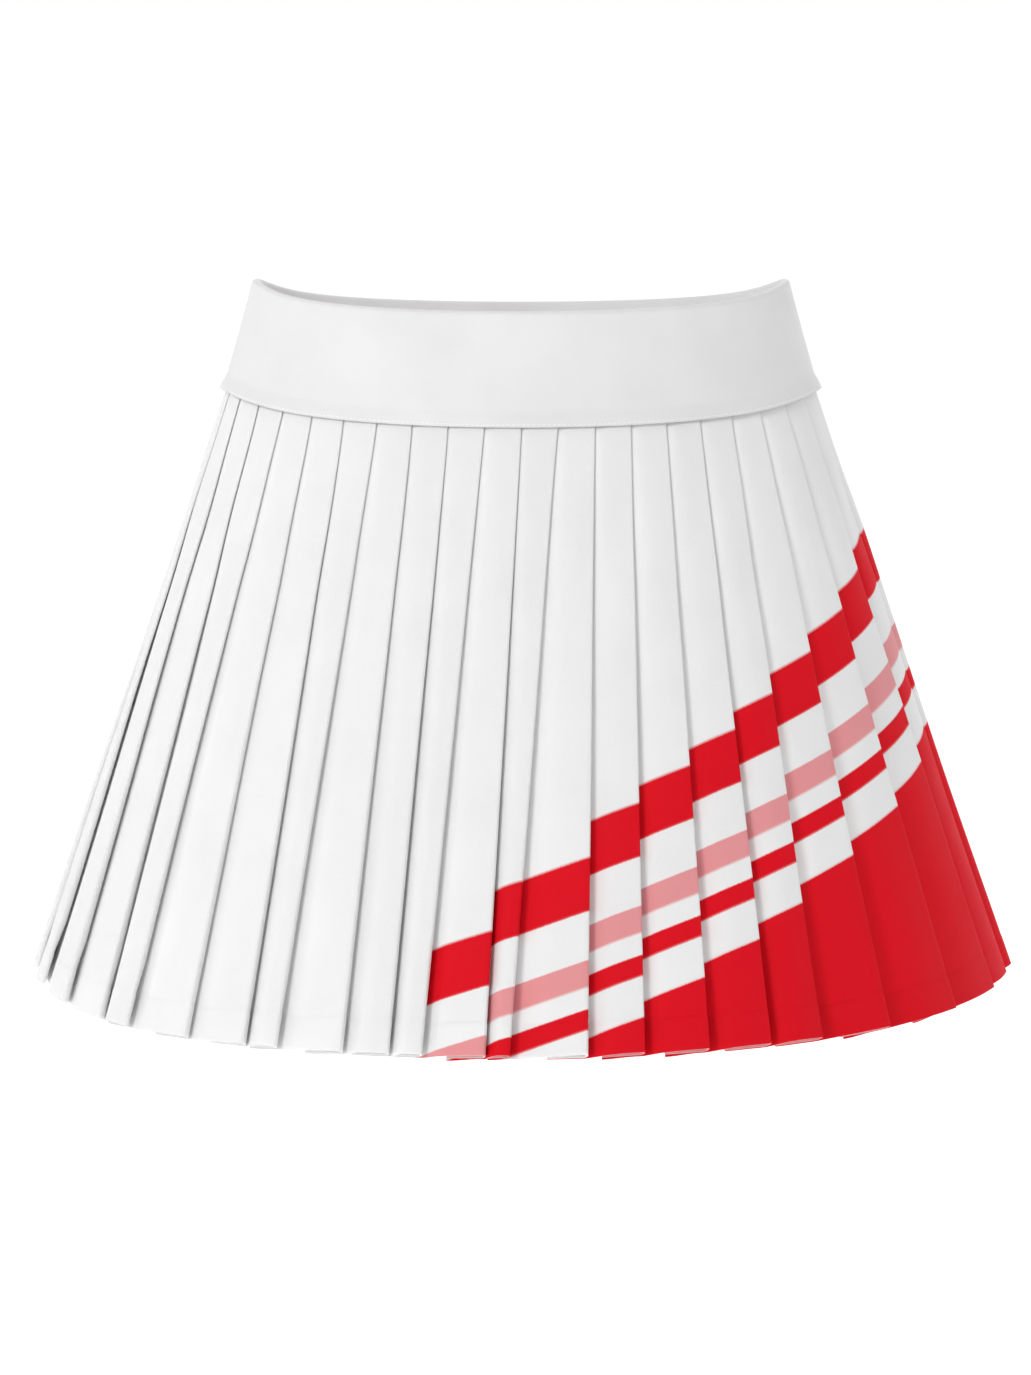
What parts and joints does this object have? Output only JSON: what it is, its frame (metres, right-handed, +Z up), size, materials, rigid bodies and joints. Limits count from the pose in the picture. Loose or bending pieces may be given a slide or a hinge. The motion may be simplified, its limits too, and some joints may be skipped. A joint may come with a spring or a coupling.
{
  "type": "cheer skirt",
  "caption": "Short knife-pleated cheer skirt with a wide plain waistband and diagonal bands printed across the pleats of one side.",
  "frame": {"origin": "middle of the waist opening, level with the band's top edge at the two sides, where the wearer's waist holds the skirt", "axes": "+Z up, the wearer faces -Y, +X to the right of someone who looks at the front"},
  "size_m": [0.4864, 0.4444, 0.3502],
  "materials": {
    "pleat_cloth": "white woven polyester, pressed, faint sheen",
    "printed_pleat_cloth": "white woven polyester printed with diagonal bands of red, white and pink above a red hem",
    "band_knit": "white smooth knit, matt",
    "elastic": "ribbed woven elastic",
    "seam_tape": "herringbone cotton tape",
    "label_satin": "blank satin ribbon"
  },
  "bodies": {
    "frame": {"waistband_front": "band_knit", "waistband_back": "band_knit", "waist_elastic": "elastic", "seam_tape": "seam_tape"},
    "label": {"care_label": "label_satin"},
    "pleat_01": {"pleat_01": "printed_pleat_cloth"},
    "pleat_02": {"pleat_02": "printed_pleat_cloth"},
    "pleat_03": {"pleat_03": "printed_pleat_cloth"},
    "pleat_04": {"pleat_04": "printed_pleat_cloth"},
    "pleat_05": {"pleat_05": "printed_pleat_cloth"},
    "pleat_06": {"pleat_06": "printed_pleat_cloth"},
    "pleat_07": {"pleat_07": "printed_pleat_cloth"},
    "pleat_08": {"pleat_08": "printed_pleat_cloth"},
    "pleat_09": {"pleat_09": "printed_pleat_cloth"},
    "pleat_10": {"pleat_10": "printed_pleat_cloth"},
    "pleat_11": {"pleat_11": "printed_pleat_cloth"},
    "pleat_12": {"pleat_12": "printed_pleat_cloth"},
    "pleat_13": {"pleat_13": "printed_pleat_cloth"},
    "pleat_14": {"pleat_14": "printed_pleat_cloth"},
    "pleat_15": {"pleat_15": "printed_pleat_cloth"},
    "pleat_16": {"pleat_16": "printed_pleat_cloth"},
    "pleat_17": {"pleat_17": "printed_pleat_cloth"},
    "pleat_18": {"pleat_18": "printed_pleat_cloth"},
    "pleat_19": {"pleat_19": "printed_pleat_cloth"},
    "pleat_20": {"pleat_20": "printed_pleat_cloth"},
    "pleat_21": {"pleat_21": "printed_pleat_cloth"},
    "pleat_22": {"pleat_22": "printed_pleat_cloth"},
    "pleat_23": {"pleat_23": "printed_pleat_cloth"},
    "pleat_24": {"pleat_24": "pleat_cloth"},
    "pleat_25": {"pleat_25": "pleat_cloth"},
    "pleat_26": {"pleat_26": "pleat_cloth"},
    "pleat_27": {"pleat_27": "pleat_cloth"},
    "pleat_28": {"pleat_28": "pleat_cloth"},
    "pleat_29": {"pleat_29": "pleat_cloth"},
    "pleat_30": {"pleat_30": "pleat_cloth"},
    "pleat_31": {"pleat_31": "pleat_cloth"},
    "pleat_32": {"pleat_32": "pleat_cloth"},
    "pleat_33": {"pleat_33": "pleat_cloth"},
    "pleat_34": {"pleat_34": "pleat_cloth"},
    "pleat_35": {"pleat_35": "pleat_cloth"},
    "pleat_36": {"pleat_36": "pleat_cloth"},
    "pleat_37": {"pleat_37": "pleat_cloth"},
    "pleat_38": {"pleat_38": "pleat_cloth"},
    "pleat_39": {"pleat_39": "pleat_cloth"},
    "pleat_40": {"pleat_40": "pleat_cloth"},
    "pleat_41": {"pleat_41": "pleat_cloth"},
    "pleat_42": {"pleat_42": "pleat_cloth"},
    "pleat_43": {"pleat_43": "pleat_cloth"},
    "pleat_44": {"pleat_44": "printed_pleat_cloth"}
  },
  "joints": [
    {"name": "pleat_01_swing", "type": "hinge", "parent": "frame", "child": "pleat_01", "pos_m": [0.00879, -0.09782, -0.06797], "axis": [-0.9992, -0.0404, -0.0056], "range_deg": [0, 24]},
    {"name": "pleat_02_swing", "type": "hinge", "parent": "frame", "child": "pleat_02", "pos_m": [0.0263, -0.0964, -0.06778], "axis": [-0.9924, -0.1218, -0.017], "range_deg": [0, 24]},
    {"name": "pleat_03_swing", "type": "hinge", "parent": "frame", "child": "pleat_03", "pos_m": [0.04364, -0.09353, -0.06737], "axis": [-0.9784, -0.2048, -0.0295], "range_deg": [0, 24]},
    {"name": "pleat_04_swing", "type": "hinge", "parent": "frame", "child": "pleat_04", "pos_m": [0.06067, -0.08918, -0.06673], "axis": [-0.9558, -0.2907, -0.0437], "range_deg": [0, 24]},
    {"name": "pleat_05_swing", "type": "hinge", "parent": "frame", "child": "pleat_05", "pos_m": [0.07722, -0.08327, -0.06581], "axis": [-0.9225, -0.3811, -0.061], "range_deg": [0, 24]},
    {"name": "pleat_06_swing", "type": "hinge", "parent": "frame", "child": "pleat_06", "pos_m": [0.09308, -0.07571, -0.06455], "axis": [-0.8745, -0.4778, -0.0832], "range_deg": [0, 24]},
    {"name": "pleat_07_swing", "type": "hinge", "parent": "frame", "child": "pleat_07", "pos_m": [0.10794, -0.06636, -0.06283], "axis": [-0.8045, -0.5832, -0.1127], "range_deg": [0, 24]},
    {"name": "pleat_08_swing", "type": "hinge", "parent": "frame", "child": "pleat_08", "pos_m": [0.12134, -0.05501, -0.06051], "axis": [-0.6998, -0.6985, -0.1495], "range_deg": [0, 24]},
    {"name": "pleat_09_swing", "type": "hinge", "parent": "frame", "child": "pleat_09", "pos_m": [0.13252, -0.04147, -0.05759], "axis": [-0.5447, -0.8207, -0.1724], "range_deg": [0, 24]},
    {"name": "pleat_10_swing", "type": "hinge", "parent": "frame", "child": "pleat_10", "pos_m": [0.14046, -0.02584, -0.05477], "axis": [-0.3409, -0.9309, -0.1311], "range_deg": [0, 24]},
    {"name": "pleat_11_swing", "type": "hinge", "parent": "frame", "child": "pleat_11", "pos_m": [0.1445, -0.00877, -0.0532], "axis": [-0.1147, -0.9924, -0.045], "range_deg": [0, 24]},
    {"name": "pleat_12_swing", "type": "hinge", "parent": "frame", "child": "pleat_12", "pos_m": [0.1445, 0.00877, -0.0532], "axis": [0.1147, -0.9924, 0.045], "range_deg": [0, 24]},
    {"name": "pleat_13_swing", "type": "hinge", "parent": "frame", "child": "pleat_13", "pos_m": [0.14046, 0.02584, -0.05477], "axis": [0.3409, -0.9309, 0.1311], "range_deg": [0, 24]},
    {"name": "pleat_14_swing", "type": "hinge", "parent": "frame", "child": "pleat_14", "pos_m": [0.13252, 0.04147, -0.05759], "axis": [0.5447, -0.8207, 0.1724], "range_deg": [0, 24]},
    {"name": "pleat_15_swing", "type": "hinge", "parent": "frame", "child": "pleat_15", "pos_m": [0.12134, 0.05501, -0.06051], "axis": [0.6998, -0.6985, 0.1495], "range_deg": [0, 24]},
    {"name": "pleat_16_swing", "type": "hinge", "parent": "frame", "child": "pleat_16", "pos_m": [0.10794, 0.06636, -0.06283], "axis": [0.8045, -0.5832, 0.1127], "range_deg": [0, 24]},
    {"name": "pleat_17_swing", "type": "hinge", "parent": "frame", "child": "pleat_17", "pos_m": [0.09308, 0.07571, -0.06455], "axis": [0.8745, -0.4778, 0.0832], "range_deg": [0, 24]},
    {"name": "pleat_18_swing", "type": "hinge", "parent": "frame", "child": "pleat_18", "pos_m": [0.07722, 0.08327, -0.06581], "axis": [0.9225, -0.3811, 0.061], "range_deg": [0, 24]},
    {"name": "pleat_19_swing", "type": "hinge", "parent": "frame", "child": "pleat_19", "pos_m": [0.06067, 0.08918, -0.06673], "axis": [0.9558, -0.2907, 0.0437], "range_deg": [0, 24]},
    {"name": "pleat_20_swing", "type": "hinge", "parent": "frame", "child": "pleat_20", "pos_m": [0.04364, 0.09353, -0.06737], "axis": [0.9784, -0.2048, 0.0295], "range_deg": [0, 24]},
    {"name": "pleat_21_swing", "type": "hinge", "parent": "frame", "child": "pleat_21", "pos_m": [0.0263, 0.0964, -0.06778], "axis": [0.9924, -0.1218, 0.017], "range_deg": [0, 24]},
    {"name": "pleat_22_swing", "type": "hinge", "parent": "frame", "child": "pleat_22", "pos_m": [0.00879, 0.09782, -0.06797], "axis": [0.9992, -0.0404, 0.0056], "range_deg": [0, 24]},
    {"name": "pleat_23_swing", "type": "hinge", "parent": "frame", "child": "pleat_23", "pos_m": [-0.00879, 0.09782, -0.06797], "axis": [0.9992, 0.0404, -0.0056], "range_deg": [0, 24]},
    {"name": "pleat_24_swing", "type": "hinge", "parent": "frame", "child": "pleat_24", "pos_m": [-0.0263, 0.0964, -0.06778], "axis": [0.9924, 0.1218, -0.017], "range_deg": [0, 24]},
    {"name": "pleat_25_swing", "type": "hinge", "parent": "frame", "child": "pleat_25", "pos_m": [-0.04364, 0.09353, -0.06737], "axis": [0.9784, 0.2048, -0.0295], "range_deg": [0, 24]},
    {"name": "pleat_26_swing", "type": "hinge", "parent": "frame", "child": "pleat_26", "pos_m": [-0.06067, 0.08918, -0.06673], "axis": [0.9558, 0.2907, -0.0437], "range_deg": [0, 24]},
    {"name": "pleat_27_swing", "type": "hinge", "parent": "frame", "child": "pleat_27", "pos_m": [-0.07722, 0.08327, -0.06581], "axis": [0.9225, 0.3811, -0.061], "range_deg": [0, 24]},
    {"name": "pleat_28_swing", "type": "hinge", "parent": "frame", "child": "pleat_28", "pos_m": [-0.09308, 0.07571, -0.06455], "axis": [0.8745, 0.4778, -0.0832], "range_deg": [0, 24]},
    {"name": "pleat_29_swing", "type": "hinge", "parent": "frame", "child": "pleat_29", "pos_m": [-0.10794, 0.06636, -0.06283], "axis": [0.8045, 0.5832, -0.1127], "range_deg": [0, 24]},
    {"name": "pleat_30_swing", "type": "hinge", "parent": "frame", "child": "pleat_30", "pos_m": [-0.12134, 0.05501, -0.06051], "axis": [0.6998, 0.6985, -0.1495], "range_deg": [0, 24]},
    {"name": "pleat_31_swing", "type": "hinge", "parent": "frame", "child": "pleat_31", "pos_m": [-0.13252, 0.04147, -0.05759], "axis": [0.5447, 0.8207, -0.1724], "range_deg": [0, 24]},
    {"name": "pleat_32_swing", "type": "hinge", "parent": "frame", "child": "pleat_32", "pos_m": [-0.14046, 0.02584, -0.05477], "axis": [0.3409, 0.9309, -0.1311], "range_deg": [0, 24]},
    {"name": "pleat_33_swing", "type": "hinge", "parent": "frame", "child": "pleat_33", "pos_m": [-0.1445, 0.00877, -0.0532], "axis": [0.1147, 0.9924, -0.045], "range_deg": [0, 24]},
    {"name": "pleat_34_swing", "type": "hinge", "parent": "frame", "child": "pleat_34", "pos_m": [-0.1445, -0.00877, -0.0532], "axis": [-0.1147, 0.9924, 0.045], "range_deg": [0, 24]},
    {"name": "pleat_35_swing", "type": "hinge", "parent": "frame", "child": "pleat_35", "pos_m": [-0.14046, -0.02584, -0.05477], "axis": [-0.3409, 0.9309, 0.1311], "range_deg": [0, 24]},
    {"name": "pleat_36_swing", "type": "hinge", "parent": "frame", "child": "pleat_36", "pos_m": [-0.13252, -0.04147, -0.05759], "axis": [-0.5447, 0.8207, 0.1724], "range_deg": [0, 24]},
    {"name": "pleat_37_swing", "type": "hinge", "parent": "frame", "child": "pleat_37", "pos_m": [-0.12134, -0.05501, -0.06051], "axis": [-0.6998, 0.6985, 0.1495], "range_deg": [0, 24]},
    {"name": "pleat_38_swing", "type": "hinge", "parent": "frame", "child": "pleat_38", "pos_m": [-0.10794, -0.06636, -0.06283], "axis": [-0.8045, 0.5832, 0.1127], "range_deg": [0, 24]},
    {"name": "pleat_39_swing", "type": "hinge", "parent": "frame", "child": "pleat_39", "pos_m": [-0.09308, -0.07571, -0.06455], "axis": [-0.8745, 0.4778, 0.0832], "range_deg": [0, 24]},
    {"name": "pleat_40_swing", "type": "hinge", "parent": "frame", "child": "pleat_40", "pos_m": [-0.07722, -0.08327, -0.06581], "axis": [-0.9225, 0.3811, 0.061], "range_deg": [0, 24]},
    {"name": "pleat_41_swing", "type": "hinge", "parent": "frame", "child": "pleat_41", "pos_m": [-0.06067, -0.08918, -0.06673], "axis": [-0.9558, 0.2907, 0.0437], "range_deg": [0, 24]},
    {"name": "pleat_42_swing", "type": "hinge", "parent": "frame", "child": "pleat_42", "pos_m": [-0.04364, -0.09353, -0.06737], "axis": [-0.9784, 0.2048, 0.0295], "range_deg": [0, 24]},
    {"name": "pleat_43_swing", "type": "hinge", "parent": "frame", "child": "pleat_43", "pos_m": [-0.0263, -0.0964, -0.06778], "axis": [-0.9924, 0.1218, 0.017], "range_deg": [0, 24]},
    {"name": "pleat_44_swing", "type": "hinge", "parent": "frame", "child": "pleat_44", "pos_m": [-0.00879, -0.09782, -0.06797], "axis": [-0.9992, 0.0404, 0.0056], "range_deg": [0, 24]},
    {"name": "care_label_swing", "type": "hinge", "parent": "frame", "child": "label", "pos_m": [0, 0.09134, -0.0669], "axis": [-1, 0, 0], "range_deg": [-10, 60]}
  ],
  "couplings": [
    {"joint": "pleat_02_swing", "follows": "pleat_01_swing", "ratio": 1},
    {"joint": "pleat_03_swing", "follows": "pleat_01_swing", "ratio": 1},
    {"joint": "pleat_04_swing", "follows": "pleat_01_swing", "ratio": 1},
    {"joint": "pleat_05_swing", "follows": "pleat_01_swing", "ratio": 1},
    {"joint": "pleat_06_swing", "follows": "pleat_01_swing", "ratio": 1},
    {"joint": "pleat_07_swing", "follows": "pleat_01_swing", "ratio": 1},
    {"joint": "pleat_08_swing", "follows": "pleat_01_swing", "ratio": 1},
    {"joint": "pleat_09_swing", "follows": "pleat_01_swing", "ratio": 1},
    {"joint": "pleat_10_swing", "follows": "pleat_01_swing", "ratio": 1},
    {"joint": "pleat_11_swing", "follows": "pleat_01_swing", "ratio": 1},
    {"joint": "pleat_12_swing", "follows": "pleat_01_swing", "ratio": 1},
    {"joint": "pleat_13_swing", "follows": "pleat_01_swing", "ratio": 1},
    {"joint": "pleat_14_swing", "follows": "pleat_01_swing", "ratio": 1},
    {"joint": "pleat_15_swing", "follows": "pleat_01_swing", "ratio": 1},
    {"joint": "pleat_16_swing", "follows": "pleat_01_swing", "ratio": 1},
    {"joint": "pleat_17_swing", "follows": "pleat_01_swing", "ratio": 1},
    {"joint": "pleat_18_swing", "follows": "pleat_01_swing", "ratio": 1},
    {"joint": "pleat_19_swing", "follows": "pleat_01_swing", "ratio": 1},
    {"joint": "pleat_20_swing", "follows": "pleat_01_swing", "ratio": 1},
    {"joint": "pleat_21_swing", "follows": "pleat_01_swing", "ratio": 1},
    {"joint": "pleat_22_swing", "follows": "pleat_01_swing", "ratio": 1},
    {"joint": "pleat_23_swing", "follows": "pleat_01_swing", "ratio": 1},
    {"joint": "pleat_24_swing", "follows": "pleat_01_swing", "ratio": 1},
    {"joint": "pleat_25_swing", "follows": "pleat_01_swing", "ratio": 1},
    {"joint": "pleat_26_swing", "follows": "pleat_01_swing", "ratio": 1},
    {"joint": "pleat_27_swing", "follows": "pleat_01_swing", "ratio": 1},
    {"joint": "pleat_28_swing", "follows": "pleat_01_swing", "ratio": 1},
    {"joint": "pleat_29_swing", "follows": "pleat_01_swing", "ratio": 1},
    {"joint": "pleat_30_swing", "follows": "pleat_01_swing", "ratio": 1},
    {"joint": "pleat_31_swing", "follows": "pleat_01_swing", "ratio": 1},
    {"joint": "pleat_32_swing", "follows": "pleat_01_swing", "ratio": 1},
    {"joint": "pleat_33_swing", "follows": "pleat_01_swing", "ratio": 1},
    {"joint": "pleat_34_swing", "follows": "pleat_01_swing", "ratio": 1},
    {"joint": "pleat_35_swing", "follows": "pleat_01_swing", "ratio": 1},
    {"joint": "pleat_36_swing", "follows": "pleat_01_swing", "ratio": 1},
    {"joint": "pleat_37_swing", "follows": "pleat_01_swing", "ratio": 1},
    {"joint": "pleat_38_swing", "follows": "pleat_01_swing", "ratio": 1},
    {"joint": "pleat_39_swing", "follows": "pleat_01_swing", "ratio": 1},
    {"joint": "pleat_40_swing", "follows": "pleat_01_swing", "ratio": 1},
    {"joint": "pleat_41_swing", "follows": "pleat_01_swing", "ratio": 1},
    {"joint": "pleat_42_swing", "follows": "pleat_01_swing", "ratio": 1},
    {"joint": "pleat_43_swing", "follows": "pleat_01_swing", "ratio": 1},
    {"joint": "pleat_44_swing", "follows": "pleat_01_swing", "ratio": 1}
  ]
}
